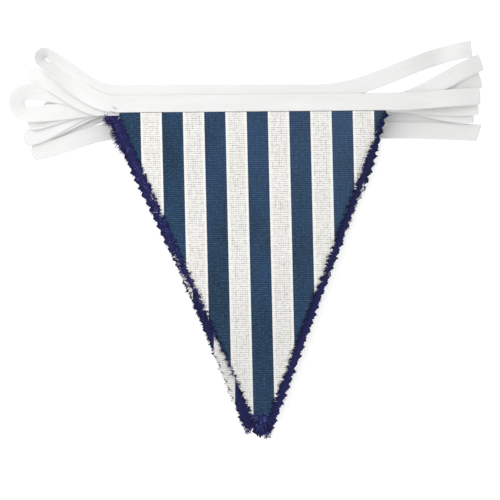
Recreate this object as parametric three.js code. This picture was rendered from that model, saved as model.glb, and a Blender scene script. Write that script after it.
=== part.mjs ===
// A string of fabric bunting, folded back and forth into a flat bundle and laid face up.
// Twelve triangular flags lie on each other, and one tape runs through all their top edges.
// Millimetres, +X along the tape, +Y away from the flags' points, +Z up from the surface.
import * as THREE from 'three';

// Cloth
const CLOTH_THICKNESS = 1.0;
const LAYER_CLEARANCE = 0.32;
const LAYER_PITCH = CLOTH_THICKNESS + LAYER_CLEARANCE;

// Flags
const STRIPED_WIDTH = 199;
const PLAIN_WIDTH = 213;
const TIP_WIDTH = 6;
const FLAG_TOP_Y = 96;
const TOOTH_PITCH = 6.5;
const TOOTH_DEPTH = 2.6;

// Tape
const TAPE_WIDTH = 12.75;
const TAPE_GAP = 0.3;
const HALF_TAPE = TAPE_WIDTH / 2;
const TAIL_Y = FLAG_TOP_Y + 14.5;

// The tape keeps its layer between these two places and sinks beyond them
const LEFT_EDGE = -111;
const RIGHT_EDGE = 117;
const COLUMN_STEP = 5;
const SINK_PER_COLUMN = 2.4;
const SIDE_MARGIN = 1.2;
const FAN_START = 2.5;

// A turn of the tape
const TWIST_LENGTH = 15;
const TWIST_STEPS = 4;
const TURN_STEPS = 8;

// Moves the middle of the bundle's outline to the origin
const ORIGIN_SHIFT_X = -0.74;
const ORIGIN_SHIFT_Y = -1.33;

// One row for each flag, from the front one down. The layer counts up from the surface,
// shift is the middle of the top edge, drop is from there to the blunt tip, turn is in
// degrees and skew moves the tip sideways.
const FLAGS = [
  { cloth: 'striped', layer: 13, shiftX: 4.0, shiftY: 0.0, drop: 234, turn: 0.5, skew: 5.2 },
  { cloth: 'plain', layer: 11, shiftX: 1.7, shiftY: -0.8, drop: 240, turn: 1.3, skew: 8.8 },
  { cloth: 'striped', layer: 10, shiftX: 2.5, shiftY: 1.0, drop: 238.7, turn: -0.3, skew: 0.5 },
  { cloth: 'plain', layer: 9, shiftX: 4.0, shiftY: 0.5, drop: 234.5, turn: -0.2, skew: 0.1 },
  { cloth: 'striped', layer: 8, shiftX: 11.5, shiftY: -0.6, drop: 234, turn: 0.4, skew: -1.1 },
  { cloth: 'plain', layer: 7, shiftX: 3.2, shiftY: 1.0, drop: 235, turn: 0.3, skew: 5.3 },
  { cloth: 'striped', layer: 6, shiftX: 6.0, shiftY: 0.6, drop: 233, turn: -0.4, skew: 3.9 },
  { cloth: 'plain', layer: 5, shiftX: 3.4, shiftY: 0.2, drop: 243.5, turn: 0.8, skew: 4.5 },
  { cloth: 'striped', layer: 4, shiftX: 7.5, shiftY: 0.2, drop: 232, turn: 0.2, skew: -0.8 },
  { cloth: 'plain', layer: 3, shiftX: 3.0, shiftY: 1.2, drop: 237, turn: 0.5, skew: 5.4 },
  { cloth: 'striped', layer: 2, shiftX: 5.0, shiftY: 0.8, drop: 231.5, turn: 0.6, skew: -0.7 },
  { cloth: 'plain', layer: 0, shiftX: 3.0, shiftY: -7.4, drop: 226.7, turn: 0.1, skew: 5.6 },
];

// The two tie ends have no flag. The front one lies in its own layer behind the front tape,
// and the back one crosses over the lowest flag, lower down.
const FRONT_TIE = { layer: 12, y: TAIL_Y, fromX: -90, toX: 54 };
const BACK_TIE = { layer: 1, y: 83, fromX: -92, toX: 112 };

// Where the tape turns back on itself, at the left and at the right of the flags.
// Above and below are the two passes that it joins, counted from 1 at the front, and
// x, y is the middle of the turn. Slope is the run's direction there and gap how far it
// stays open.
const LEFT_TURNS = [
  { above: 1, below: 'frontTie', x: -150.5, y: 137.5, slope: -0.6, gap: -11.5 },
  { above: 2, below: 3, x: -163, y: 125, slope: -0.18, gap: 0 },
  { above: 4, below: 5, x: -170.5, y: 103, slope: 0.03, gap: 14.5 },
  { above: 6, below: 7, x: -164, y: 88.5, slope: 0.12, gap: 0 },
  { above: 8, below: 9, x: -167, y: 77, slope: 0.12, gap: 0 },
  { above: 10, below: 11, x: -153, y: 98, slope: 0.05, gap: 0 },
  { above: 'backTie', below: 12, x: -161.5, y: 66.5, slope: 0.1, gap: 0 },
];
const RIGHT_TURNS = [
  { above: 1, below: 2, x: 175.2, y: 108, slope: 0.06, gap: 0 },
  { above: 3, below: 4, x: 176.5, y: 133.5, slope: 0.36, gap: 0 },
  { above: 5, below: 6, x: 176, y: 121, slope: 0.3, gap: 0 },
  { above: 7, below: 8, x: 174, y: 100.5, slope: 0.12, gap: 0 },
  { above: 9, below: 10, x: 170.5, y: 94.5, slope: 0.08, gap: 0 },
  { above: 11, below: 12, x: 164, y: 97.5, slope: 0.0, gap: 0 },
];

// The ends of the two ties: the front one is cut, and so is the back one
const FRONT_TIE_END = { x: 169.5, y: 143.5, slope: 0.1 };
const BACK_TIE_END = { x: 176, y: 81, slope: -0.03 };

const COLOURS = { striped: 0x8d98a5, plain: 0x28265f, tape: 0xf2f1ee };

function clothMaterial(colour) {
  return new THREE.MeshStandardMaterial({ color: colour, roughness: 0.9, metalness: 0 });
}

function radians(degrees) {
  return degrees * Math.PI / 180;
}

// Adds the points of one pinked edge to a list, from start to just before end
function addPinkedEdge(points, start, end) {
  const edge = new THREE.Vector2().subVectors(end, start);
  const teeth = Math.round(edge.length() / TOOTH_PITCH);
  const along = edge.clone().divideScalar(teeth);
  const outward = new THREE.Vector2(edge.y, -edge.x).setLength(TOOTH_DEPTH);
  for (let tooth = 0; tooth < teeth; tooth += 1) {
    const valley = start.clone().addScaledVector(along, tooth);
    const peak = start.clone().addScaledVector(along, tooth + 0.5).add(outward);
    points.push(valley, peak);
  }
}

// A flag hangs from the middle of its top edge, with its two long edges pinked
function makeFlag(row, number) {
  const half = (row.cloth === 'striped' ? STRIPED_WIDTH : PLAIN_WIDTH) / 2;
  const left = new THREE.Vector2(-half, 0);
  const right = new THREE.Vector2(half, 0);
  const tipLeft = new THREE.Vector2(row.skew - TIP_WIDTH / 2, -row.drop);
  const tipRight = new THREE.Vector2(row.skew + TIP_WIDTH / 2, -row.drop);
  const outline = [];
  addPinkedEdge(outline, left, tipLeft);
  outline.push(tipLeft);
  addPinkedEdge(outline, tipRight, right);
  outline.push(right);
  const shape = new THREE.Shape(outline);
  const solid = new THREE.ExtrudeGeometry(shape, { depth: CLOTH_THICKNESS, bevelEnabled: false });
  const flag = new THREE.Mesh(solid, clothMaterial(COLOURS[row.cloth]));
  flag.name = `flag_${String(number).padStart(2, '0')}`;
  flag.position.set(row.shiftX, FLAG_TOP_Y + row.shiftY, row.layer * LAYER_PITCH);
  flag.rotation.z = radians(row.turn);
  return flag;
}

// The run of tape along a flag's top edge: a straight line between its two corners
function flagRun(row) {
  const half = (row.cloth === 'striped' ? STRIPED_WIDTH : PLAIN_WIDTH) / 2;
  const slope = Math.tan(radians(row.turn));
  const reach = (half + FAN_START) * Math.cos(radians(row.turn));
  const rise = (HALF_TAPE + TAPE_GAP) / Math.cos(radians(row.turn));
  return {
    layer: row.layer,
    slope,
    fromX: row.shiftX - reach,
    toX: row.shiftX + reach,
    y: FLAG_TOP_Y + row.shiftY + rise,
    middleX: row.shiftX,
  };
}

function tieRun(row) {
  return { ...row, slope: 0, middleX: 0 };
}

const RUNS = { frontTie: tieRun(FRONT_TIE), backTie: tieRun(BACK_TIE) };
FLAGS.forEach((row, index) => {
  RUNS[index + 1] = flagRun(row);
});

// The two ends of a turn lie either side of its middle, square to the run there. A turn
// with no gap is a flat fold, and one with a gap stands on its edge.
function turnEnds(turn) {
  const across = new THREE.Vector2(-turn.slope, 1).setLength(turn.gap / 2);
  return {
    [turn.above]: { x: turn.x + across.x, y: turn.y + across.y, slope: turn.slope },
    [turn.below]: { x: turn.x - across.x, y: turn.y - across.y, slope: turn.slope },
  };
}

const LEFT_ENDS = Object.assign({}, ...LEFT_TURNS.map(turnEnds));
const RIGHT_ENDS = Object.assign({}, ...RIGHT_TURNS.map(turnEnds), {
  frontTie: FRONT_TIE_END,
  backTie: BACK_TIE_END,
});

// A smooth curve y over x that leaves one end and reaches the other in their own directions
function hermite(start, end, x) {
  const span = end.x - start.x;
  const t = (x - start.x) / span;
  const y = start.y * (2 * t ** 3 - 3 * t ** 2 + 1)
    + end.y * (3 * t ** 2 - 2 * t ** 3)
    + start.slope * span * (t ** 3 - 2 * t ** 2 + t)
    + end.slope * span * (t ** 3 - t ** 2);
  const rate = 6 * (t ** 2 - t) * (start.y - end.y) / span
    + start.slope * (3 * t ** 2 - 4 * t + 1)
    + end.slope * (3 * t ** 2 - 2 * t);
  return { y, rate };
}

// The middle line of one run, seen from above
function runAt(name, x) {
  const run = RUNS[name];
  const lineY = (at) => run.y + (at - run.middleX) * run.slope;
  if (x < run.fromX) {
    return hermite({ x: run.fromX, y: lineY(run.fromX), slope: run.slope }, LEFT_ENDS[name], x);
  }
  if (x > run.toX) {
    return hermite({ x: run.toX, y: lineY(run.toX), slope: run.slope }, RIGHT_ENDS[name], x);
  }
  return { y: lineY(x), rate: run.slope };
}

function overlapInPlan(nameA, nameB, x) {
  const a = runAt(nameA, x);
  const b = runAt(nameB, x);
  const reachA = HALF_TAPE * Math.hypot(1, a.rate);
  const reachB = HALF_TAPE * Math.hypot(1, b.rate);
  return Math.abs(a.y - b.y) < reachA + reachB + SIDE_MARGIN;
}

function reaches(name, side, x) {
  const margin = HALF_TAPE + COLUMN_STEP;
  return side < 0 ? x > LEFT_ENDS[name].x - margin : x < RIGHT_ENDS[name].x + margin;
}

// Beyond the flags each run sinks column by column, until it lies on the runs below it
// or on the surface. Heights are kept by run and column, for one side at a time.
function settle(side) {
  const edge = side < 0 ? LEFT_EDGE : RIGHT_EDGE;
  const count = Math.ceil((185 - Math.abs(edge)) / COLUMN_STEP) + 1;
  const columns = Array.from({ length: count }, (_, index) => edge + side * index * COLUMN_STEP);
  const order = Object.keys(RUNS).sort((a, b) => RUNS[a].layer - RUNS[b].layer);
  const heights = {};
  order.forEach((name, rank) => {
    const lower = order.slice(0, rank);
    heights[name] = [RUNS[name].layer * LAYER_PITCH];
    for (let index = 1; index < count; index += 1) {
      const near = [columns[index - 1], columns[index], columns[index] + side * COLUMN_STEP];
      const under = lower.filter((other) => reaches(other, side, columns[index - 1])
        && near.some((x) => overlapInPlan(name, other, x)));
      const resting = under.map((other) => heights[other][index] + LAYER_PITCH);
      heights[name].push(Math.max(0, heights[name][index - 1] - SINK_PER_COLUMN, ...resting));
    }
  });
  return { columns, heights };
}

const SIDES = { left: settle(-1), right: settle(1) };

// The height of a run's underside at x
function heightAt(name, x) {
  const { columns, heights } = x < 0 ? SIDES.left : SIDES.right;
  const along = Math.max(0, (Math.abs(x) - Math.abs(columns[0])) / COLUMN_STEP);
  const index = Math.min(Math.floor(along), columns.length - 2);
  const part = along - index;
  return heights[name][index] * (1 - part) + heights[name][index + 1] * part;
}

// A station of the tape: its middle, half its width and half its thickness, as vectors
function flatStation(name, x, faceUp) {
  const { y, rate } = runAt(name, x);
  return {
    middle: new THREE.Vector3(x, y, heightAt(name, x) + CLOTH_THICKNESS / 2),
    half: new THREE.Vector3(0, HALF_TAPE * Math.hypot(1, rate), 0),
    depth: new THREE.Vector3(0, 0, faceUp * CLOTH_THICKNESS / 2),
  };
}

function squareStation(middle, forward, width) {
  const depth = new THREE.Vector3().crossVectors(forward, width).setLength(CLOTH_THICKNESS / 2);
  const half = new THREE.Vector3().crossVectors(depth, forward).setLength(HALF_TAPE);
  return { middle, half, depth };
}

function smooth(t) {
  return t * t * (3 - 2 * t);
}

// One turn, from the pass that the tape arrives on to the one that it leaves on.
// It tilts onto its edge as far as the turn is open, and bends round in a half circle.
function turnStations(turn, side, arriving, leaving) {
  const ends = side < 0 ? LEFT_ENDS : RIGHT_ENDS;
  const place = (name) => new THREE.Vector3(ends[name].x, ends[name].y,
    heightAt(name, ends[name].x) + CLOTH_THICKNESS / 2);
  const outward = new THREE.Vector3(side, side * turn.slope, 0).normalize();
  const start = place(arriving);
  const finish = place(leaving);
  const across = new THREE.Vector3().subVectors(start, finish);
  const open = Math.hypot(across.x, across.y);
  const tilt = open > LAYER_PITCH ? Math.atan2(open, Math.abs(across.z)) : 0;
  const flatWidth = new THREE.Vector3(-outward.y * side, outward.x * side, 0);
  const lean = Math.sign(across.y * across.z) || 1;
  const widthAt = (share) => flatWidth.clone().multiplyScalar(Math.cos(tilt * share))
    .add(new THREE.Vector3(0, 0, -lean * Math.sin(tilt * share)));
  const lift = (share) => HALF_TAPE * Math.sin(tilt * share);
  const twistFor = (name, direction) => Array.from({ length: TWIST_STEPS }, (_, step) => {
    const left = (TWIST_STEPS - step) / TWIST_STEPS;
    const share = smooth(1 - left);
    const x = ends[name].x - side * left * TWIST_LENGTH;
    const { y, rate } = runAt(name, x);
    const middle = new THREE.Vector3(x, y, heightAt(name, x) + CLOTH_THICKNESS / 2 + lift(share));
    const forward = new THREE.Vector3(side, side * rate, 0).multiplyScalar(direction);
    return squareStation(middle, forward, widthAt(share));
  });
  const bend = Array.from({ length: TURN_STEPS + 1 }, (_, step) => {
    const angle = Math.PI * step / TURN_STEPS;
    const middle = start.clone().add(finish).multiplyScalar(0.5)
      .addScaledVector(across, Math.cos(angle) / 2)
      .addScaledVector(outward, Math.sin(angle) * across.length() / 2);
    middle.z += lift(1);
    const forward = outward.clone().multiplyScalar(Math.cos(angle))
      .addScaledVector(across.clone().normalize(), -Math.sin(angle));
    return squareStation(middle, forward, widthAt(1));
  });
  if (tilt === 0) {
    return bend;
  }
  return [...twistFor(arriving, 1), ...bend, ...twistFor(leaving, -1).reverse()];
}

// The flat stations of a run between two places, on the settled columns and the flag's line
function runStations(name, fromX, toX, faceUp) {
  const run = RUNS[name];
  const direction = Math.sign(toX - fromX);
  const middle = [run.fromX, (run.fromX + run.toX) / 2, run.toX, (run.toX + RIGHT_EDGE) / 2];
  const all = [...SIDES.left.columns, ...middle, ...SIDES.right.columns];
  const inside = all.filter((x) => (x - fromX) * direction > 1 && (toX - x) * direction > 1);
  inside.sort((a, b) => (a - b) * direction);
  return inside.map((x) => flatStation(name, x, faceUp));
}

// The whole tape, from the cut end of the front tie to the cut end of the back one
function tapeStations() {
  const passes = ['frontTie', 1, 2, 3, 4, 5, 6, 7, 8, 9, 10, 11, 12, 'backTie'];
  const stations = [flatStation('frontTie', FRONT_TIE_END.x, -1)];
  let fromX = FRONT_TIE_END.x;
  let faceUp = -1;
  passes.forEach((name, index) => {
    const next = passes[index + 1];
    const side = index % 2 === 0 ? -1 : 1;
    const turns = side < 0 ? LEFT_TURNS : RIGHT_TURNS;
    const ends = side < 0 ? LEFT_ENDS : RIGHT_ENDS;
    const turn = turns.find((row) => row.above === name || row.below === name);
    const twist = turn && turn.gap !== 0 ? TWIST_LENGTH : 0;
    const toX = next ? ends[name].x - side * twist : BACK_TIE_END.x;
    stations.push(...runStations(name, fromX, toX, faceUp));
    if (next) {
      stations.push(...turnStations(turn, side, name, next));
      fromX = ends[next].x - side * twist;
    } else {
      stations.push(flatStation(name, toX, faceUp));
    }
    faceUp = -faceUp;
  });
  return stations;
}

// Joins the stations' four corners into one closed strip
function stripGeometry(stations) {
  const corners = [];
  stations.forEach(({ middle, half, depth }) => {
    for (const [along, up] of [[-1, -1], [1, -1], [1, 1], [-1, 1]]) {
      const corner = middle.clone().addScaledVector(half, along).addScaledVector(depth, up);
      corners.push(corner.x, corner.y, corner.z);
    }
  });
  const faces = [0, 2, 1, 0, 3, 2];
  for (let ring = 0; ring < stations.length - 1; ring += 1) {
    for (let side = 0; side < 4; side += 1) {
      const a = ring * 4 + side;
      const b = ring * 4 + (side + 1) % 4;
      faces.push(a, b + 4, a + 4, a, b, b + 4);
    }
  }
  const last = (stations.length - 1) * 4;
  faces.push(last, last + 1, last + 2, last, last + 2, last + 3);
  const geometry = new THREE.BufferGeometry();
  geometry.setAttribute('position', new THREE.Float32BufferAttribute(corners, 3));
  geometry.setIndex(faces);
  geometry.computeVertexNormals();
  return geometry;
}

function makeTape() {
  const tape = new THREE.Mesh(stripGeometry(tapeStations()), clothMaterial(COLOURS.tape));
  tape.name = 'tape';
  return tape;
}

const bunting = new THREE.Group();
FLAGS.forEach((row, index) => bunting.add(makeFlag(row, index + 1)));
bunting.add(makeTape());
bunting.position.set(ORIGIN_SHIFT_X, ORIGIN_SHIFT_Y, 0);

export default bunting;
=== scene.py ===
import math
import random

import bpy
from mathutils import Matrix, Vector, noise


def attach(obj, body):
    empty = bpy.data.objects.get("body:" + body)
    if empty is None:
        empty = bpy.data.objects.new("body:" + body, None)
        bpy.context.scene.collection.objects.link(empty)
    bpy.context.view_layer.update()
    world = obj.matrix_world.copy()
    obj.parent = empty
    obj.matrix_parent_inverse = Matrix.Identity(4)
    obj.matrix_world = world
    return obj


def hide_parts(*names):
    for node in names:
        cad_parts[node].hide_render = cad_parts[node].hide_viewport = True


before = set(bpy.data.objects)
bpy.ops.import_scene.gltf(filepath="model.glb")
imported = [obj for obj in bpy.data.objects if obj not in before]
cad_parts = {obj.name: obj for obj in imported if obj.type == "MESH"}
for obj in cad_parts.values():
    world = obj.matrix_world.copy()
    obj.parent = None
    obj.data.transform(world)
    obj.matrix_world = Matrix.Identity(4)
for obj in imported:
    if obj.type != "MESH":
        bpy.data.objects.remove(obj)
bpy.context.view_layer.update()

# A folded string of bunting on a pale floor: twelve pinked cloth flags on one long tape.
# Lengths are in millimetres here and become metres where a mesh is made.
MM = 0.001
random.seed(11)

# Sizes shared with the solids
CLOTH_THICKNESS = 1.0
LAYER_PITCH = 1.32
STRIPED_WIDTH = 199
PLAIN_WIDTH = 213
TIP_WIDTH = 6
FLAG_TOP_Y = 96
TOOTH_PITCH = 6.5
TOOTH_DEPTH = 2.6
TAPE_WIDTH = 12.75
TAPE_GAP = 0.3
HALF_TAPE = TAPE_WIDTH / 2
LEFT_EDGE = -111
RIGHT_EDGE = 117
COLUMN_STEP = 5
SINK_PER_COLUMN = 2.4
SIDE_MARGIN = 1.2
FAN_START = 2.5
FARTHEST_X = 185
ORIGIN_SHIFT = Vector((-0.74, -1.33, 0))

# Sizes of the cloth that are in the look alone
FLAG_THICKNESS = 0.55
STRIPE_WIDTH = 15.9
THREAD_PITCH = 0.9
LEAST_REACH = -0.6
TIP_FRAY = 2.2
# How many flags from the front have the fine mesh, and each mesh's rows and columns
FINE_FLAGS = 5
FINE_GRID = (560, 30)
PLAIN_GRID = (280, 16)
# How fast the cloth's waves and ripples change across and along it
WAVE_RATE = (0.014, 0.012)
RIPPLE_RATE = (0.05, 0.035)
# The middle of the cloth above its layer's lowest level, and how far waves and ripples move it
FRONT_WAVES = (0.75, 0.5, 0.22)
PRESSED_WAVES = (0.5, 0.1, 0.06)

# Sizes of the tape that are in the look alone. Noses are the rounded ends of the flat folds,
# by side, and a nose's lag grows towards the fold and towards the tape's two edges.
TAPE_THICKNESS = 0.86
NOSE_LENGTH = {-1: 3.4, 1: 0.7}
NOSE_REACH = 16
NOSE_GROWTH = 1.5
LAG_GROWTH = 2.4
CUT_SLANT = 1.8
CUT_STATIONS = 6
TWIST_STEPS = 6
TURN_STEPS = 12
MIDDLE_STEPS = 24
TAPE_UV_OFFSET = 40

# Camera, lights and floor
CAMERA_HEIGHT = 2000
VIEW_WIDTH = 375
VIEW_LEVEL = 15
VIEW_MIDDLE = Vector((3.0, -7.5, 0))
SENSOR_WIDTH = 36
WORLD_STRENGTH = 0.83
FLOOR_SIZE = 6000
FLOOR_DROP = 0.3
FLOOR_GREY = 0.94
FLOOR_GLOW = 0.42

# One row for each flag, from the front one down, as in the solids. Navy is where a navy
# stripe starts, counted from the middle of the flag, and lean is the stripes' lean in degrees.
FLAGS = [
    dict(cloth="striped", layer=13, x=4.0, y=0.0, drop=234, turn=0.5, skew=5.2,
         navy=-3.6, lean=0.8),
    dict(cloth="plain", layer=11, x=1.7, y=-0.8, drop=240, turn=1.3, skew=8.8),
    dict(cloth="striped", layer=10, x=2.5, y=1.0, drop=238.7, turn=-0.3, skew=0.5,
         navy=-10.7, lean=0.3),
    dict(cloth="plain", layer=9, x=4.0, y=0.5, drop=234.5, turn=-0.2, skew=0.1),
    dict(cloth="striped", layer=8, x=11.5, y=-0.6, drop=234, turn=0.4, skew=-1.1,
         navy=-19.0, lean=0.4),
    dict(cloth="plain", layer=7, x=3.2, y=1.0, drop=235, turn=0.3, skew=5.3),
    dict(cloth="striped", layer=6, x=6.0, y=0.6, drop=233, turn=-0.4, skew=3.9,
         navy=3.0, lean=-0.5),
    dict(cloth="plain", layer=5, x=3.4, y=0.2, drop=243.5, turn=0.8, skew=4.5),
    dict(cloth="striped", layer=4, x=7.5, y=0.2, drop=232, turn=0.2, skew=-0.8,
         navy=-9.0, lean=0.2),
    dict(cloth="plain", layer=3, x=3.0, y=1.2, drop=237, turn=0.5, skew=5.4),
    dict(cloth="striped", layer=2, x=5.0, y=0.8, drop=231.5, turn=0.6, skew=-0.7,
         navy=6.0, lean=0.0),
    dict(cloth="plain", layer=0, x=3.0, y=-7.4, drop=226.7, turn=0.1, skew=5.6),
]
# How ragged an edge is, by the flag's number and its side, where it is more than usual
USUAL_FRAY = 0.25
FRAY = {(1, -1): 0.75, (1, 1): 0.7, (2, -1): 1.0, (2, 1): 0.35, (3, -1): 0.55, (4, -1): 0.4}
# How much of the teeth is left where fraying has worn them down
WEAR = {(1, -1): 0.5, (1, 1): 0.35, (2, -1): 0.6, (2, 1): 0.65, (3, -1): 0.6, (4, -1): 0.7}
# How far a top corner is cut back, where it doesn't stand out beside the front flag, and how far
# down the edge the cut goes
CORNER_CUT = {(2, 1): 3.5, (4, 1): 5, (5, 1): 6.5, (6, 1): 5, (7, 1): 1.5, (8, 1): 5, (9, 1): 3,
              (10, 1): 5, (12, 1): 5}
CORNER_DEPTH = 42

# The ties and the bends between passes, close to those of the solids. A bend without a gap is a
# flat fold. One with a cone is an open loop, which leans by that many degrees and comes out of
# the flat tape over the length of its twist.
FRONT_TIE = dict(layer=12, y=FLAG_TOP_Y + 14.5, from_x=-102, to_x=54)
BACK_TIE = dict(layer=1, y=83, from_x=-92, to_x=112)
LEFT_TURNS = [
    dict(above=1, below="front_tie", x=-150.5, y=136.2, slope=-0.6, gap=-8.5, cone=-55, twist=34),
    dict(above=2, below=3, x=-163, y=125, slope=-0.18, gap=0),
    dict(above=4, below=5, x=-164, y=103, slope=0.03, gap=17, cone=-20, twist=30),
    dict(above=6, below=7, x=-164, y=88.5, slope=0.12, gap=0),
    dict(above=8, below=9, x=-167, y=77, slope=0.12, gap=0),
    dict(above=10, below=11, x=-153, y=98, slope=0.05, gap=0),
    dict(above="back_tie", below=12, x=-161.5, y=66.5, slope=0.1, gap=0),
]
RIGHT_TURNS = [
    dict(above=1, below=2, x=175.2, y=108, slope=0.06, gap=0),
    dict(above=3, below=4, x=176.5, y=133.5, slope=0.36, gap=0),
    dict(above=5, below=6, x=176, y=121, slope=0.3, gap=0),
    dict(above=7, below=8, x=174, y=100.5, slope=0.12, gap=0),
    dict(above=9, below=10, x=170.5, y=94.5, slope=0.08, gap=0),
    dict(above=11, below=12, x=168, y=94.5, slope=0.0, gap=0),
]
FRONT_TIE_END = dict(x=169.5, y=143.5, slope=0.1)
BACK_TIE_END = dict(x=176, y=81, slope=-0.03)
PASSES = ["front_tie", 1, 2, 3, 4, 5, 6, 7, 8, 9, 10, 11, 12, "back_tie"]

# Dark, middle and light of the navy stripes on the front flag, and on those behind it with painted
# shade
DENIM = ((0.010, 0.027, 0.052, 1), (0.019, 0.058, 0.132, 1), (0.085, 0.165, 0.300, 1))
SHADED_DENIM = ((0.012, 0.012, 0.060, 1), (0.018, 0.018, 0.095, 1), (0.045, 0.060, 0.190, 1))
FADED_DENIM = (0.085, 0.115, 0.170, 1)
STRIPE_SEAM = (0.004, 0.010, 0.024, 1)
DULL_CREAM = (0.84, 0.83, 0.79, 1)
BRIGHT_CREAM = (0.90, 0.89, 0.86, 1)
DENSE_CREAM = (0.92, 0.915, 0.90, 1)
# Painted shade: the grey that the cream stripes take low on the flag
SHADED_LOW_CREAM = (0.76, 0.75, 0.73, 1)
OPEN_WEAVE = (0.10, 0.095, 0.09, 1)
# The hollow between threads, and the dark and light of the threads themselves
PLAIN_NAVY = ((0.004, 0.003, 0.018, 1), (0.016, 0.016, 0.072, 1), (0.038, 0.042, 0.175, 1))
TAPE_WHITE = ((0.45, 0.45, 0.45, 1), (0.85, 0.85, 0.84, 1), (0.90, 0.90, 0.895, 1))
# The colour of each kind of loose thread, and the slot it belongs to
THREAD_KINDS = {
    "navy_threads": ((0.024, 0.022, 0.115, 1), "navy_cloth"),
    "bright_threads": ((0.085, 0.095, 0.320, 1), "navy_cloth"),
    "dark_threads": ((0.010, 0.010, 0.030, 1), "navy_cloth"),
    "cream_threads": ((0.80, 0.78, 0.72, 1), "striped_cloth"),
    "denim_threads": ((0.015, 0.045, 0.11, 1), "striped_cloth"),
}
# What all cloth and thread has alike
SPECULAR = 0.12
SHEEN_ROUGHNESS = 0.6
BUMP_STRENGTH = 0.8
LIGHTEST = 0.85


# The studio
def make_camera():
    data = bpy.data.cameras.new("camera")
    data.sensor_width = SENSOR_WIDTH
    data.lens = SENSOR_WIDTH * (CAMERA_HEIGHT - VIEW_LEVEL) / VIEW_WIDTH
    camera = bpy.data.objects.new("camera", data)
    bpy.context.scene.collection.objects.link(camera)
    middle = VIEW_MIDDLE + ORIGIN_SHIFT
    camera.location = Vector((middle.x, middle.y, CAMERA_HEIGHT)) * MM
    bpy.context.scene.camera = camera


def make_light(name, place, size, power):
    data = bpy.data.lights.new(name, "AREA")
    data.size = size
    data.energy = power
    light = bpy.data.objects.new(name, data)
    bpy.context.scene.collection.objects.link(light)
    light.location = place
    light.rotation_euler = (-Vector(place)).to_track_quat("-Z", "Y").to_euler()


def make_floor():
    bpy.ops.mesh.primitive_plane_add(size=FLOOR_SIZE * MM, location=(0, 0, -FLOOR_DROP * MM))
    floor = bpy.context.object
    floor.name = "floor"
    material = bpy.data.materials.new("floor")
    material.use_nodes = True
    shader = material.node_tree.nodes["Principled BSDF"]
    shader.inputs["Base Color"].default_value = (FLOOR_GREY, FLOOR_GREY, FLOOR_GREY, 1)
    shader.inputs["Roughness"].default_value = 0.9
    shader.inputs["Emission Color"].default_value = (1, 1, 1, 1)
    shader.inputs["Emission Strength"].default_value = FLOOR_GLOW
    floor.data.materials.append(material)


def make_world():
    world = bpy.data.worlds.new("studio")
    world.use_nodes = True
    background = world.node_tree.nodes["Background"]
    background.inputs["Color"].default_value = (1, 1, 1, 1)
    background.inputs["Strength"].default_value = WORLD_STRENGTH
    bpy.context.scene.world = world
    bpy.context.scene.view_settings.view_transform = "Standard"


# Materials, woven in the cloth's own millimetres from its UV map
class Nodes:
    """Short calls for the nodes of one material."""

    def __init__(self, name):
        self.material = bpy.data.materials.new(name)
        self.material.use_nodes = True
        self.tree = self.material.node_tree
        self.shader = self.tree.nodes["Principled BSDF"]

    def put(self, socket, value):
        if isinstance(value, bpy.types.NodeSocket):
            self.tree.links.new(value, socket)
        else:
            socket.default_value = value

    def math(self, operation, a, b=0.0, c=0.0):
        node = self.tree.nodes.new("ShaderNodeMath")
        node.operation = operation
        for socket, value in zip(node.inputs, (a, b, c)):
            self.put(socket, value)
        return node.outputs[0]

    def uv(self, name):
        node = self.tree.nodes.new("ShaderNodeUVMap")
        node.uv_map = name
        split = self.tree.nodes.new("ShaderNodeSeparateXYZ")
        self.tree.links.new(node.outputs[0], split.inputs[0])
        return split.outputs[0], split.outputs[1]

    def noise(self, u, v, scale_u, scale_v, detail=2.0):
        join = self.tree.nodes.new("ShaderNodeCombineXYZ")
        self.put(join.inputs[0], self.math("MULTIPLY", u, scale_u))
        self.put(join.inputs[1], self.math("MULTIPLY", v, scale_v))
        node = self.tree.nodes.new("ShaderNodeTexNoise")
        node.inputs["Scale"].default_value = 1
        node.inputs["Detail"].default_value = detail
        self.tree.links.new(join.outputs[0], node.inputs["Vector"])
        return node.outputs[0]

    def mix(self, share, a, b):
        node = self.tree.nodes.new("ShaderNodeMix")
        node.data_type = "RGBA"
        for socket, value in zip((node.inputs[0], node.inputs[6], node.inputs[7]), (share, a, b)):
            self.put(socket, value)
        return node.outputs[2]

    def ramp(self, value, low, high):
        node = self.tree.nodes.new("ShaderNodeMapRange")
        for socket, given in zip(node.inputs, (value, low, high, 0.0, 1.0)):
            self.put(socket, given)
        return node.outputs[0]

    def finish(self, colour, height, depth, roughness, sheen):
        self.put(self.shader.inputs["Base Color"], colour)
        self.shader.inputs["Roughness"].default_value = roughness
        self.shader.inputs["Specular IOR Level"].default_value = SPECULAR
        self.shader.inputs["Sheen Weight"].default_value = sheen
        self.shader.inputs["Sheen Roughness"].default_value = SHEEN_ROUGHNESS
        bump = self.tree.nodes.new("ShaderNodeBump")
        bump.inputs["Strength"].default_value = BUMP_STRENGTH
        bump.inputs["Distance"].default_value = depth * MM
        self.put(bump.inputs["Height"], height)
        self.tree.links.new(bump.outputs[0], self.shader.inputs["Normal"])
        return self.material

    def gaps(self, along, pitch, wander, share):
        """Dark lines between threads: 1 on a line and 0 on the threads beside it."""
        phase = self.math("ADD", self.math("MULTIPLY", along, math.pi / pitch), wander)
        thread = self.math("ABSOLUTE", self.math("SINE", phase))
        return self.ramp(thread, share, 0.0)

    def threads(self, u, v, pitch, share):
        """An even plain weave: 1 on the threads and 0 on the dark lines between them."""
        columns = self.gaps(u, pitch, 0.0, share)
        rows = self.gaps(v, pitch, 0.0, share)
        return self.math("SUBTRACT", 1.0, self.math("MAXIMUM", columns, rows))


def scaled(colour, factor):
    """A lighter or darker colour, never brighter than cream cloth."""
    return tuple(min(part * factor, LIGHTEST) for part in colour[:3]) + (1,)


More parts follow.
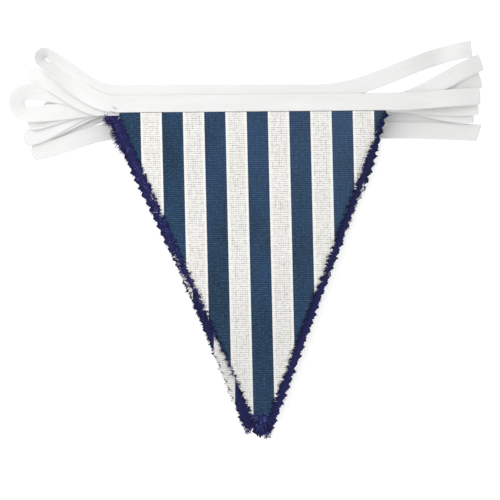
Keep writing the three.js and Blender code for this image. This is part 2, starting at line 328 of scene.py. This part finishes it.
def striped_cloth(name, denims):
    """Linen with woven stripes. Denims are the dark, middle and light of a navy stripe."""
    nodes = Nodes(name)
    u, v = nodes.uv("cloth")

    # Dark lines and holes between uneven threads
    wander_u = nodes.math("MULTIPLY", nodes.noise(u, v, 0.45, 0.02), 2.2)
    wander_v = nodes.math("MULTIPLY", nodes.noise(u, v, 0.02, 0.45), 1.8)
    columns = nodes.gaps(u, 1.75, wander_u, 0.6)
    rows = nodes.gaps(v, 1.45, wander_v, 0.75)
    blotch_rows = nodes.ramp(nodes.noise(u, v, 0.45, 0.5, 3.0), 0.38, 0.64)
    blotch_columns = nodes.ramp(nodes.noise(u, v, 0.5, 0.12, 2.0), 0.4, 0.72)
    holes = nodes.math("MULTIPLY", rows, nodes.math("MULTIPLY_ADD", blotch_rows, 0.6, 0.25))
    holes = nodes.math("MULTIPLY_ADD", nodes.math("MULTIPLY", columns, blotch_columns), 0.5, holes)

    # Place is 0 in the middle of a navy stripe, 0.5 at its edge and 1 in the middle of a cream one
    uneven = nodes.math("MULTIPLY", nodes.math("SUBTRACT", nodes.noise(u, v, 0.9, 0.9), 0.5), 0.35)
    across = nodes.math("DIVIDE", nodes.math("ADD", u, uneven), STRIPE_WIDTH)
    place = nodes.math("PINGPONG", nodes.math("SUBTRACT", across, 0.5), 1.0)
    cream_share = nodes.ramp(place, 0.488, 0.512)
    from_edge = nodes.math("ABSOLUTE", nodes.math("SUBTRACT", place, 0.5))
    dense = nodes.ramp(from_edge, 0.15, 0.07)
    seam = nodes.ramp(from_edge, 0.035, 0.01)

    # Cream thread, denser beside a stripe's edge, with painted shade that greys it low on the flag
    open_weave = nodes.math("MULTIPLY", holes, nodes.math("MULTIPLY_ADD", dense, -0.6, 1.0))
    cloudy = nodes.ramp(nodes.noise(u, v, 0.05, 0.05, 3.0), 0.3, 0.7)
    thread = nodes.mix(cloudy, DULL_CREAM, BRIGHT_CREAM)
    thread = nodes.mix(dense, thread, DENSE_CREAM)
    # Painted shade: the cream greys towards the flag's low end
    low = nodes.math("MULTIPLY", nodes.ramp(v, -110, -230), 0.7)
    thread = nodes.mix(low, thread, SHADED_LOW_CREAM)
    cream = nodes.mix(nodes.math("MINIMUM", open_weave, 0.9), thread, OPEN_WEAVE)

    # Denim, patchy, darker low on the flag and faded at its upper right
    dark, middle, light = denims
    patch = nodes.ramp(nodes.noise(u, v, 0.022, 0.016, 3.0), 0.35, 0.65)
    dyed = nodes.mix(patch, dark, middle)
    dyed = nodes.mix(nodes.math("MULTIPLY", nodes.ramp(v, -90, -230), 0.6), dyed, dark)
    faded = nodes.math("MULTIPLY", nodes.ramp(v, -180, -20), nodes.ramp(u, -60, 90))
    dyed = nodes.mix(nodes.math("MULTIPLY", faded, 0.3), dyed, FADED_DENIM)
    lit = nodes.math("MULTIPLY", nodes.math("SUBTRACT", 1.0, rows),
                     nodes.ramp(nodes.noise(u, v, 0.4, 0.9, 3.0), 0.45, 0.75))
    dyed = nodes.mix(nodes.math("MULTIPLY_ADD", lit, 0.5, 0.12), dyed, light)
    grid = nodes.math("MULTIPLY", nodes.math("MAXIMUM", rows, columns), 0.42)
    grid = nodes.math("MINIMUM", nodes.math("MULTIPLY_ADD", holes, 0.35, grid), 0.85)
    dyed = nodes.mix(grid, dyed, scaled(dark, 0.25))
    dyed = nodes.mix(nodes.math("MULTIPLY", seam, 0.75), dyed, STRIPE_SEAM)

    colour = nodes.mix(cream_share, dyed, cream)
    height = nodes.math("SUBTRACT", 1.0, nodes.math("MINIMUM", holes, 1.0))
    return nodes.finish(colour, height, depth=0.25, roughness=0.9, sheen=0.02)


def navy_cloth():
    nodes = Nodes("navy_cloth")
    hollow, dark, light = PLAIN_NAVY
    u, v = nodes.uv("cloth")
    threads = nodes.threads(u, v, 0.8, 0.8)
    fuzz = nodes.ramp(nodes.noise(u, v, 0.9, 0.9, 4.0), 0.35, 0.7)
    dyed = nodes.mix(fuzz, dark, light)
    colour = nodes.mix(nodes.math("MULTIPLY_ADD", threads, -0.5, 0.5), dyed, hollow)
    height = nodes.math("MULTIPLY_ADD", fuzz, 0.8, threads)
    return nodes.finish(colour, height, depth=0.15, roughness=0.92, sheen=0.02)


def white_tape():
    nodes = Nodes("white_tape")
    hollow, dark, light = TAPE_WHITE
    u, v = nodes.uv("cloth")
    threads = nodes.threads(u, v, 0.5, 0.7)
    cloudy = nodes.ramp(nodes.noise(u, v, 0.03, 0.15, 3.0), 0.25, 0.75)
    base = nodes.mix(cloudy, dark, light)
    colour = nodes.mix(nodes.math("MULTIPLY_ADD", threads, -0.10, 0.10), base, hollow)
    wrinkle = nodes.noise(u, v, 0.09, 0.22, 3.0)
    height = nodes.math("MULTIPLY_ADD", wrinkle, 7.0, threads)
    return nodes.finish(colour, height, depth=0.1, roughness=0.85, sheen=0.05)


def thread_material(name, colour):
    nodes = Nodes(name)
    coordinates = nodes.tree.nodes.new("ShaderNodeTexCoord")
    grain = nodes.tree.nodes.new("ShaderNodeTexNoise")
    grain.inputs["Scale"].default_value = 400
    nodes.tree.links.new(coordinates.outputs["Object"], grain.inputs["Vector"])
    share = nodes.ramp(grain.outputs[0], 0.35, 0.65)
    mixed = nodes.mix(share, scaled(colour, 0.35), scaled(colour, 1.7))
    return nodes.finish(mixed, grain.outputs[0], depth=0.05, roughness=0.9, sheen=0.02)


# Meshes
def make_mesh(name, points, faces, material, uvs=None):
    mesh = bpy.data.meshes.new(name)
    mesh.from_pydata([(Vector(point) + ORIGIN_SHIFT) * MM for point in points], [], faces)
    if uvs:
        layer = mesh.uv_layers.new(name="cloth")
        for loop in mesh.loops:
            layer.data[loop.index].uv = uvs[loop.vertex_index]
    mesh.polygons.foreach_set("use_smooth", [True] * len(mesh.polygons))
    mesh.materials.append(material)
    piece = bpy.data.objects.new(name, mesh)
    bpy.context.scene.collection.objects.link(piece)
    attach(piece, "root")
    return piece


def flag_half(row):
    return (STRIPED_WIDTH if row["cloth"] == "striped" else PLAIN_WIDTH) / 2


def edge_reach(distance, pitch, seed, fray, wear):
    """How far a pinked edge stands out, at a distance along it. Fray is how ragged it is."""
    tooth = math.floor(distance / pitch)
    part = distance / pitch % 1.0
    depth = TOOTH_DEPTH * wear * (0.8 + 0.35 * noise.cell(Vector((tooth, seed, 0.5))))
    thread = noise.cell(Vector((distance / THREAD_PITCH, seed, 7.5)))
    return max(LEAST_REACH, depth * (1 - abs(2 * part - 1)) + fray * (1.9 * thread - 0.8))


class Flag:
    """One flag's outline and surface, in its own millimetres and in the bundle's."""

    def __init__(self, row, number):
        self.row = row
        self.number = number
        self.drop = row["drop"]
        self.half = flag_half(row)
        self.turn = math.radians(row["turn"])
        self.lean = math.tan(math.radians(row.get("lean", 0)))
        narrowing = self.half - TIP_WIDTH / 2
        self.runs = {side: Vector((row["skew"] - side * narrowing, -self.drop))
                     for side in (-1, 1)}
        self.fray = {side: FRAY.get((number, side), USUAL_FRAY) for side in (-1, 1)}
        self.wear = {side: WEAR.get((number, side), 1.0) for side in (-1, 1)}

    def edge_x(self, side, depth):
        """The pinked edge's place at a depth below the top, left or right."""
        run = self.runs[side]
        pitch = run.length / round(run.length / TOOTH_PITCH)
        share = depth / self.drop
        reach = edge_reach(share * run.length, pitch, self.number + side * 0.3,
                           self.fray[side], self.wear[side])
        corner = CORNER_CUT.get((self.number, side), 0) * max(0, 1 - depth / CORNER_DEPTH)
        return side * self.half + run.x * share + side * (reach * run.length / self.drop - corner)

    def height(self, x, y):
        """The middle of the cloth's thickness over the surface."""
        lowest = self.row["layer"] * LAYER_PITCH
        wave = noise.noise(Vector((x * WAVE_RATE[0], y * WAVE_RATE[1], self.number * 3.7)))
        ripple = noise.noise(Vector((x * RIPPLE_RATE[0], y * RIPPLE_RATE[1], self.number * 5.1)))
        middle, wave_size, ripple_size = FRONT_WAVES if self.number == 1 else PRESSED_WAVES
        return lowest + middle + wave_size * wave + ripple_size * ripple

    def place(self, x, y, lift=0.0):
        turned = Vector((x * math.cos(self.turn) - y * math.sin(self.turn),
                         x * math.sin(self.turn) + y * math.cos(self.turn)))
        return Vector((turned.x + self.row["x"], turned.y + FLAG_TOP_Y + self.row["y"],
                       self.height(x, y) + lift))

    def stripe_u(self, x, y):
        """The distance across the stripes, from the start of a navy one."""
        return x - self.row.get("navy", 0) + y * self.lean


def make_flag(row, number, material):
    flag = Flag(row, number)
    rows, columns = FINE_GRID if number <= FINE_FLAGS else PLAIN_GRID
    points = []
    uvs = []
    for index in range(rows + 1):
        depth = flag.drop * index / rows
        left = flag.edge_x(-1, depth)
        right = flag.edge_x(1, depth)
        for column in range(columns + 1):
            x = left + (right - left) * column / columns
            y = -depth
            if index == rows:
                y -= TIP_FRAY * noise.cell(Vector((column / 2, number, 3.5)))
            points.append(flag.place(x, y))
            uvs.append((flag.stripe_u(x, y), y))
    faces = []
    width = columns + 1
    for index in range(rows):
        for column in range(columns):
            corner = index * width + column
            faces.append((corner, corner + width, corner + width + 1, corner + 1))
    piece = make_mesh(f"cloth_{number:02d}", points, faces, material, uvs)
    solid = piece.modifiers.new("thickness", "SOLIDIFY")
    solid.thickness = FLAG_THICKNESS * MM
    solid.offset = 0
    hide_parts(f"flag_{number:02d}")
    return flag


# The tape's route, worked out as in the solids but for its softer loops and folds
def flag_run(row):
    turn = math.radians(row["turn"])
    reach = (flag_half(row) + FAN_START) * math.cos(turn)
    rise = (HALF_TAPE + TAPE_GAP) / math.cos(turn)
    return dict(layer=row["layer"], slope=math.tan(turn), from_x=row["x"] - reach,
                to_x=row["x"] + reach, y=FLAG_TOP_Y + row["y"] + rise, middle_x=row["x"])


RUNS = {"front_tie": dict(FRONT_TIE, slope=0, middle_x=0),
        "back_tie": dict(BACK_TIE, slope=0, middle_x=0)}
RUNS.update({index + 1: flag_run(row) for index, row in enumerate(FLAGS)})


def turn_ends(turn):
    across = Vector((-turn["slope"], 1)).normalized() * turn["gap"] / 2
    ends = {}
    for name, sign in ((turn["above"], 1), (turn["below"], -1)):
        ends[name] = dict(x=turn["x"] + sign * across.x, y=turn["y"] + sign * across.y,
                          slope=turn["slope"])
    return ends


ENDS = {-1: {}, 1: {"front_tie": FRONT_TIE_END, "back_tie": BACK_TIE_END}}
FLAT_FOLDS = {-1: set(), 1: set()}
for side_turns, side_sign in ((LEFT_TURNS, -1), (RIGHT_TURNS, 1)):
    for turn_row in side_turns:
        ENDS[side_sign].update(turn_ends(turn_row))
        if turn_row["gap"] == 0:
            FLAT_FOLDS[side_sign].update((turn_row["above"], turn_row["below"]))


def hermite(start, end, x):
    span = end["x"] - start["x"]
    t = (x - start["x"]) / span
    y = (start["y"] * (2 * t ** 3 - 3 * t ** 2 + 1) + end["y"] * (3 * t ** 2 - 2 * t ** 3)
         + start["slope"] * span * (t ** 3 - 2 * t ** 2 + t)
         + end["slope"] * span * (t ** 3 - t ** 2))
    rate = (6 * (t ** 2 - t) * (start["y"] - end["y"]) / span
            + start["slope"] * (3 * t ** 2 - 4 * t + 1) + end["slope"] * (3 * t ** 2 - 2 * t))
    return y, rate


def run_at(name, x):
    """The middle line of one run and its direction, seen from above."""
    run = RUNS[name]
    side = -1 if x < run["from_x"] else 1 if x > run["to_x"] else 0
    if side == 0:
        return run["y"] + (x - run["middle_x"]) * run["slope"], run["slope"]
    corner_x = run["from_x"] if side < 0 else run["to_x"]
    corner_y = run["y"] + (corner_x - run["middle_x"]) * run["slope"]
    corner = dict(x=corner_x, y=corner_y, slope=run["slope"])
    return hermite(corner, ENDS[side][name], x)


def overlap_in_plan(first, second, x):
    first_y, first_rate = run_at(first, x)
    second_y, second_rate = run_at(second, x)
    reach = HALF_TAPE * (math.hypot(1, first_rate) + math.hypot(1, second_rate))
    return abs(first_y - second_y) < reach + SIDE_MARGIN


def reaches(name, side, x):
    return side * x < side * ENDS[side][name]["x"] + HALF_TAPE + COLUMN_STEP


def soften(steps):
    """Rounds the steps in a run's heights, upwards only, so that each run stays clear."""
    for _ in range(2):
        for blend in (max, lambda near: sum(near) / len(near)):
            steps = [steps[0]] + [blend(steps[index - 1:index + 2])
                                  for index in range(1, len(steps))]
    return steps


def settle(side):
    """Each run sinks beyond the flags until it lies on the runs below or on the floor."""
    edge = LEFT_EDGE if side < 0 else RIGHT_EDGE
    count = math.ceil((FARTHEST_X - abs(edge)) / COLUMN_STEP) + 1
    columns = [edge + side * index * COLUMN_STEP for index in range(count)]
    order = sorted(RUNS, key=lambda name: RUNS[name]["layer"])
    heights = {}
    for rank, name in enumerate(order):
        heights[name] = [RUNS[name]["layer"] * LAYER_PITCH]
        for index in range(1, count):
            near = (columns[index - 1], columns[index], columns[index] + side * COLUMN_STEP)
            resting = [heights[other][index] + LAYER_PITCH for other in order[:rank]
                       if reaches(other, side, columns[index - 1])
                       and any(overlap_in_plan(name, other, x) for x in near)]
            heights[name].append(max([0, heights[name][index - 1] - SINK_PER_COLUMN, *resting]))
    return columns, {name: soften(steps) for name, steps in heights.items()}


SETTLED = {-1: settle(-1), 1: settle(1)}


def height_at(name, x):
    columns, heights = SETTLED[-1 if x < 0 else 1]
    along = max(0.0, (abs(x) - abs(columns[0])) / COLUMN_STEP)
    index = min(int(along), len(columns) - 2)
    part = along - index
    return heights[name][index] * (1 - part) + heights[name][index + 1] * part


def nose(name, x):
    """How far the tape's two edges lag behind its middle near a flat fold, as a vector."""
    side = -1 if x < 0 else 1
    end = ENDS[side][name]
    if name not in FLAT_FOLDS[side]:
        return Vector((0, 0, 0))
    share = max(0.0, 1 - abs(end["x"] - x) / NOSE_REACH)
    outward = Vector((side, side * end["slope"], 0)).normalized()
    return outward * NOSE_LENGTH[side] * share ** NOSE_GROWTH


def flat_station(name, x, face_up):
    y, rate = run_at(name, x)
    across = Vector((-rate, 1, 0)).normalized() * HALF_TAPE
    high, low = (height_at(name, x + sign * across.x) for sign in (1, -1))
    middle = Vector((x, y, (high + low) / 2 + CLOTH_THICKNESS / 2))
    across.z = (high - low) / 2
    return middle, across, Vector((0, 0, face_up)), nose(name, x)


def square_station(middle, forward, width, lag):
    """A place on the tape: its middle, half its width, the way its thickness goes, and its lag."""
    depth = forward.cross(width).normalized()
    return middle, depth.cross(forward).normalized() * HALF_TAPE, depth, lag


def end_point(side, name):
    end = ENDS[side][name]
    return Vector((end["x"], end["y"], height_at(name, end["x"]) + CLOTH_THICKNESS / 2))


def turned(station, hand):
    """The same place with the tape's two edges changed over, where hand is -1."""
    middle, half, depth, lag = station
    return middle, half * hand, depth * hand, lag


def fold_stations(side, arriving, leaving):
    """A flat fold: the tape goes round in a half circle over or under itself."""
    outward = Vector((side, side * ENDS[side][arriving]["slope"], 0)).normalized()
    start = end_point(side, arriving)
    across = start - end_point(side, leaving)
    width = Vector((-outward.y * side, outward.x * side, 0))
    stations = []
    for step in range(TURN_STEPS + 1):
        angle = math.pi * step / TURN_STEPS
        middle = start + across * (math.cos(angle) - 1) / 2
        middle += outward * math.sin(angle) * across.length / 2
        forward = outward * math.cos(angle) - across.normalized() * math.sin(angle)
        stations.append(square_station(middle, forward, width, nose(arriving, start.x)))
    return stations


def loop_stations(turn, side, arriving, leaving, hand):
    """An open loop: the tape leans like the side of a cone and goes round in a half circle."""
    cone = math.radians(turn["cone"])
    outward = Vector((side, side * turn["slope"], 0)).normalized()
    start = end_point(side, arriving)
    finish = end_point(side, leaving)
    across = start - finish
    flat_across = Vector((across.x, across.y, 0)).normalized()
    keep = hand if flat_across.y > 0 else -hand

    def leaning(middle, forward, radial, share):
        lean = cone * share
        raised = middle + Vector((0, 0, HALF_TAPE * abs(math.sin(lean))))
        width = (radial * math.cos(lean) - Vector((0, 0, math.sin(lean)))) * keep
        return square_station(raised, forward, width, Vector((0, 0, 0)))

    def lead(name, direction):
        stations = []
        for step in range(TWIST_STEPS):
            left = (TWIST_STEPS - step) / TWIST_STEPS
            share = (1 - left) ** 2 * (1 + 2 * left)
            x = ENDS[side][name]["x"] - side * left * turn["twist"]
            y, rate = run_at(name, x)
            middle = Vector((x, y, height_at(name, x) + CLOTH_THICKNESS / 2))
            forward = Vector((side, side * rate, 0)) * direction
            stations.append(leaning(middle, forward, flat_across * direction, share))
        return stations

    bend = []
    for step in range(TURN_STEPS + 1):
        angle = math.pi * step / TURN_STEPS
        middle = (start + finish) / 2 + across * math.cos(angle) / 2
        middle += outward * math.sin(angle) * across.length / 2
        forward = outward * math.cos(angle) - flat_across * math.sin(angle)
        radial = flat_across * math.cos(angle) + outward * math.sin(angle)
        bend.append(leaning(middle, forward, radial, 1))
    return lead(arriving, 1) + bend + lead(leaving, -1)[::-1]


def run_stations(name, from_x, to_x, face_up):
    direction = 1 if to_x > from_x else -1
    span = RIGHT_EDGE - LEFT_EDGE
    middle = [LEFT_EDGE + span * step / MIDDLE_STEPS for step in range(1, MIDDLE_STEPS)]
    places = SETTLED[-1][0] + middle + SETTLED[1][0]
    inside = [x for x in places if (x - from_x) * direction > 1 and (to_x - x) * direction > 1]
    inside.sort(key=lambda x: x * direction)
    return [flat_station(name, x, face_up) for x in inside]


def tape_stations():
    """The tape from the front tie's end to the back tie's, pass by pass."""
    stations = [flat_station("front_tie", FRONT_TIE_END["x"], -1)]
    from_x = FRONT_TIE_END["x"]
    face_up = -1
    hand = 1
    for index, name in enumerate(PASSES):
        side = -1 if index % 2 == 0 else 1
        if name == PASSES[-1]:
            run = run_stations(name, from_x, ENDS[side][name]["x"], face_up)
            run.append(flat_station(name, ENDS[side][name]["x"], face_up))
            return stations + [turned(station, hand) for station in run]
        following = PASSES[index + 1]
        turn = next(row for row in (LEFT_TURNS if side < 0 else RIGHT_TURNS)
                    if name in (row["above"], row["below"]))
        twist = turn.get("twist", 0)
        run = run_stations(name, from_x, ENDS[side][name]["x"] - side * twist, face_up)
        stations += [turned(station, hand) for station in run]
        if twist:
            stations += loop_stations(turn, side, name, following, hand)
            hand = -hand
        else:
            stations += [turned(station, hand) for station in fold_stations(side, name, following)]
        from_x = ENDS[side][following]["x"] - side * twist
        face_up = -face_up


# The upper half of the folded tape's section, as shares of its half width and half thickness
SECTION = [(-1.0, 0.35), (-0.985, 0.8), (-0.93, 1.0), (-0.75, 1.0), (-0.5, 0.97), (-0.25, 0.95),
           (0.0, 0.95), (0.25, 0.95), (0.5, 0.97), (0.75, 1.0), (0.93, 1.0), (0.985, 0.8),
           (1.0, 0.35)]
RING = SECTION + [(u, -v) for u, v in reversed(SECTION)]
SUBDIVISIONS = 3


def catmull(a, b, c, d, t):
    return 0.5 * ((2 * b) + (c - a) * t + (2 * a - 5 * b + 4 * c - d) * t * t
                  + (3 * b - a - 3 * c + d) * t ** 3)


def refine(stations):
    """Puts more stations on a smooth curve through the given ones."""
    finer = []
    last = len(stations) - 1
    for index in range(last):
        near = [stations[min(max(index + offset, 0), last)] for offset in (-1, 0, 1, 2)]
        for step in range(SUBDIVISIONS):
            t = step / SUBDIVISIONS
            middle = catmull(*[station[0] for station in near], t)
            half = near[1][1].lerp(near[2][1], t)
            depth = near[1][2].lerp(near[2][2], t)
            finer.append((middle, half, depth.normalized(), near[1][3].lerp(near[2][3], t)))
    finer.append(stations[last])
    return finer


def make_tape(material):
    stations = refine(tape_stations())
    points = []
    uvs = []
    along = 0.0
    for index, (middle, half, depth, lag) in enumerate(stations):
        if index:
            along += (middle - stations[index - 1][0]).length
        from_cut = len(stations) - 1 - index
        slant = Vector((CUT_SLANT * max(0.0, 1 - from_cut / CUT_STATIONS), 0, 0))
        for share_u, share_v in RING:
            across = (half + slant) * share_u + depth * share_v * TAPE_THICKNESS / 2
            points.append(middle + across - lag * abs(share_u) ** LAG_GROWTH)
            uvs.append((along, share_u * HALF_TAPE + TAPE_UV_OFFSET))
    size = len(RING)
    faces = []
    for ring in range(len(stations) - 1):
        for corner in range(size):
            following = (corner + 1) % size
            a = ring * size + corner
            b = ring * size + following
            faces.append((a, a + size, b + size, b))
    faces.append(tuple(range(size)))
    last = (len(stations) - 1) * size
    faces.append(tuple(last + corner for corner in reversed(range(size))))
    piece = make_mesh("folded_tape", points, faces, material, uvs)
    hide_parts("tape")


# Loose threads, as place, direction in degrees and length, which lie on the front flag
LOOSE_CREAM = [
    (95.5, 82.5, 125, 5.5), (96.5, 79.5, 60, 4.0), (-71, 33, 70, 4.5), (-69.5, 30, 110, 5.0),
    (-66, 20.5, 160, 4.0), (-65, 18.5, 20, 3.5), (-63.5, 17.5, 75, 4.0), (63, -28, 120, 4.0),
]
LOOSE_DARK = [
    (100.5, 93.4, 0, 9.0), (-97, 98, 150, 3.5), (-98, 95.5, 170, 4.5), (-99, 93, 185, 5.0),
]
CREAM_LEVEL = 19
DARK_LEVEL = 19.2
# How far threads along an edge and in its notches lie above the middle of the cloth
EDGE_LIFT = 0.25
NOTCH_LIFT = 0.3


class Threads:
    """Many thin curved threads of one colour, joined into one mesh."""

    STEPS = 5
    SIDES = 3

    def __init__(self, name):
        self.name = name
        self.colour, self.slot = THREAD_KINDS[name]
        self.points = []
        self.faces = []

    def add(self, root, angle, length, radius, curl=0.4, lift=0.2):
        direction = Vector((math.cos(angle), math.sin(angle), 0))
        side = Vector((-direction.y, direction.x, 0))
        bend = side * random.uniform(-curl, curl) + Vector((0, 0, random.uniform(0, lift)))
        first = len(self.points)
        for step in range(self.STEPS + 1):
            t = step / self.STEPS
            centre = root + direction * length * t + bend * length * t * t
            size = radius * (1 - 0.5 * t)
            for corner in range(self.SIDES):
                turn = math.tau * corner / self.SIDES
                self.points.append(centre + side * math.cos(turn) * size
                                   + Vector((0, 0, math.sin(turn) * size)))
        for step in range(self.STEPS):
            for corner in range(self.SIDES):
                a = first + step * self.SIDES + corner
                b = first + step * self.SIDES + (corner + 1) % self.SIDES
                self.faces.append((a, b, b + self.SIDES, a + self.SIDES))
        last = first + self.STEPS * self.SIDES
        self.faces.append((first, first + 2, first + 1))
        self.faces.append((last, last + 1, last + 2))

    def make(self):
        material = thread_material(self.name, self.colour)
        make_mesh(self.name, self.points, self.faces, material)


def colour_at(flag, x, y):
    if flag.row["cloth"] == "plain":
        return "navy_threads"
    return "cream_threads" if math.floor(flag.stripe_u(x, y) / STRIPE_WIDTH) % 2 else "denim_threads"


def fray_edge(groups, flag, side, count, length, spread=0.6, reach=(0, 1), inward=0.5, name=None,
              thick=1.0):
    """Threads that stand out of one edge, between two shares of its length."""
    outward = 0 if side > 0 else math.pi
    for _ in range(count):
        depth = flag.drop * random.uniform(*reach)
        x = flag.edge_x(side, depth) - side * random.uniform(0, inward)
        angle = outward + random.gauss(-side * 0.35, spread)
        groups[name or colour_at(flag, x, -depth)].add(
            flag.place(x, -depth, EDGE_LIFT), angle, random.uniform(*length),
            random.uniform(0.1, 0.2) * thick)


def fray_notches(groups, flag, side, reach, thick=1.0):
    """Bunches of dark broken threads in the notches between an edge's teeth."""
    length = flag.runs[side].length
    teeth = round(length / TOOTH_PITCH)
    outward = 0 if side > 0 else math.pi
    for tooth in range(math.ceil(teeth * reach[0]), int(teeth * reach[1])):
        for _ in range(random.randint(3, 8)):
            depth = flag.drop * (tooth + random.gauss(0, 0.12)) / teeth
            x = flag.edge_x(side, depth) + side * random.uniform(-1.2, 0.6)
            groups["dark_threads"].add(
                flag.place(x, -depth, NOTCH_LIFT), outward + random.gauss(0, 1.2),
                random.uniform(0.5, 1.3), random.uniform(0.16, 0.28) * thick, curl=0.8)


def fray_tip(groups, flag, count, name, longest=3.2, thick=1.0):
    """Threads that hang out of a flag's blunt tip, in a fan."""
    for _ in range(count):
        depth = flag.drop - random.uniform(-3, 8)
        left = flag.edge_x(-1, min(depth, flag.drop))
        right = flag.edge_x(1, min(depth, flag.drop))
        x = random.uniform(left, right)
        angle = -math.pi / 2 + random.gauss(0, 0.8)
        groups[name].add(flag.place(x, -depth, NOTCH_LIFT), angle, random.uniform(1.0, longest),
                         random.uniform(0.1, 0.2) * thick, curl=0.6)


def make_threads(flags):
    groups = {name: Threads(name) for name in THREAD_KINDS}
    front, second, third, fourth, fifth = flags[:5]
    fray_edge(groups, second, -1, 800, (0.8, 3.0), spread=0.8, inward=1.2, thick=1.7)
    fray_edge(groups, second, -1, 110, (2.2, 5.6), spread=1.0, reach=(0, 0.12), inward=1.5, thick=1.8)
    fray_edge(groups, second, -1, 120, (0.8, 2.4), spread=1.0, reach=(0, 0.15), inward=2.0,
              name="dark_threads", thick=1.5)
    fray_edge(groups, second, -1, 45, (1.5, 3.6), spread=0.9, reach=(0, 0.07), inward=0.8,
              name="dark_threads", thick=2.2)
    fray_edge(groups, second, -1, 420, (0.8, 2.4), spread=1.2, inward=6.0,
              name="bright_threads", thick=1.6)
    fray_edge(groups, second, 1, 130, (0.5, 1.4))
    fray_edge(groups, second, 1, 80, (0.6, 1.6), spread=0.8, reach=(0.8, 0.93))

    fray_edge(groups, front, -1, 520, (0.6, 2.0), spread=0.8, inward=1.0)
    fray_edge(groups, front, 1, 520, (0.6, 2.0), spread=0.8, inward=1.0)
    fray_edge(groups, front, -1, 240, (0.5, 1.4), spread=1.2, reach=(0.35, 1), inward=2.2,
              name="dark_threads")
    fray_edge(groups, front, 1, 260, (0.5, 1.4), spread=1.2, reach=(0.1, 1), inward=2.2,
              name="dark_threads")
    fray_notches(groups, front, -1, (0.5, 0.97))
    fray_notches(groups, front, 1, (0.03, 0.97))

    fray_notches(groups, third, -1, (0.4, 0.97), thick=1.7)
    fray_edge(groups, third, -1, 300, (0.6, 1.8), spread=0.8, reach=(0.3, 1), thick=1.3)
    fray_edge(groups, third, -1, 60, (0.5, 1.3), spread=1.2, reach=(0.45, 1), inward=1.2,
              name="dark_threads", thick=1.5)
    fray_edge(groups, fourth, -1, 420, (0.7, 1.9), spread=0.8, reach=(0.4, 1))
    fray_edge(groups, fifth, 1, 160, (0.5, 1.4), reach=(0.1, 0.6))
    for flag in flags[5:]:
        for side in (-1, 1):
            fray_edge(groups, flag, side, 60, (0.5, 1.5), reach=(0, 0.9))

    fray_tip(groups, front, 200, "navy_threads", longest=4.6, thick=1.5)
    fray_tip(groups, front, 90, "denim_threads", longest=6.0, thick=1.6)
    fray_tip(groups, front, 60, "bright_threads", longest=6.5, thick=1.6)
    fray_tip(groups, third, 40, "bright_threads")
    fray_tip(groups, second, 260, "navy_threads")
    fray_tip(groups, third, 260, "navy_threads")

    for x, y, angle, length in LOOSE_CREAM:
        groups["cream_threads"].add(Vector((x, y, CREAM_LEVEL)), math.radians(angle), length,
                                    radius=0.18, curl=0.5, lift=0)
    for x, y, angle, length in LOOSE_DARK:
        groups["dark_threads"].add(Vector((x, y, DARK_LEVEL)), math.radians(angle), length,
                                   radius=0.22, curl=0.1, lift=0)
    for group in groups.values():
        group.make()


make_camera()
make_world()
make_floor()
make_light("key", place=(-0.42, 0.30, 0.62), size=0.6, power=2.3)
make_light("fill", place=(-0.2, -0.9, 1.6), size=1.6, power=2)

plain_cloth = navy_cloth()
front_cloth = striped_cloth("striped_cloth", DENIM)
# The flags behind the front one get a copy whose navy stripes are darker and more purple: painted
# shade
rear_shaded_cloth = striped_cloth("striped_cloth_rear_shaded", SHADED_DENIM)
flags = []
for index, row in enumerate(FLAGS):
    striped = front_cloth if index == 0 else rear_shaded_cloth
    flags.append(make_flag(row, index + 1, striped if row["cloth"] == "striped" else plain_cloth))
make_tape(white_tape())
make_threads(flags)
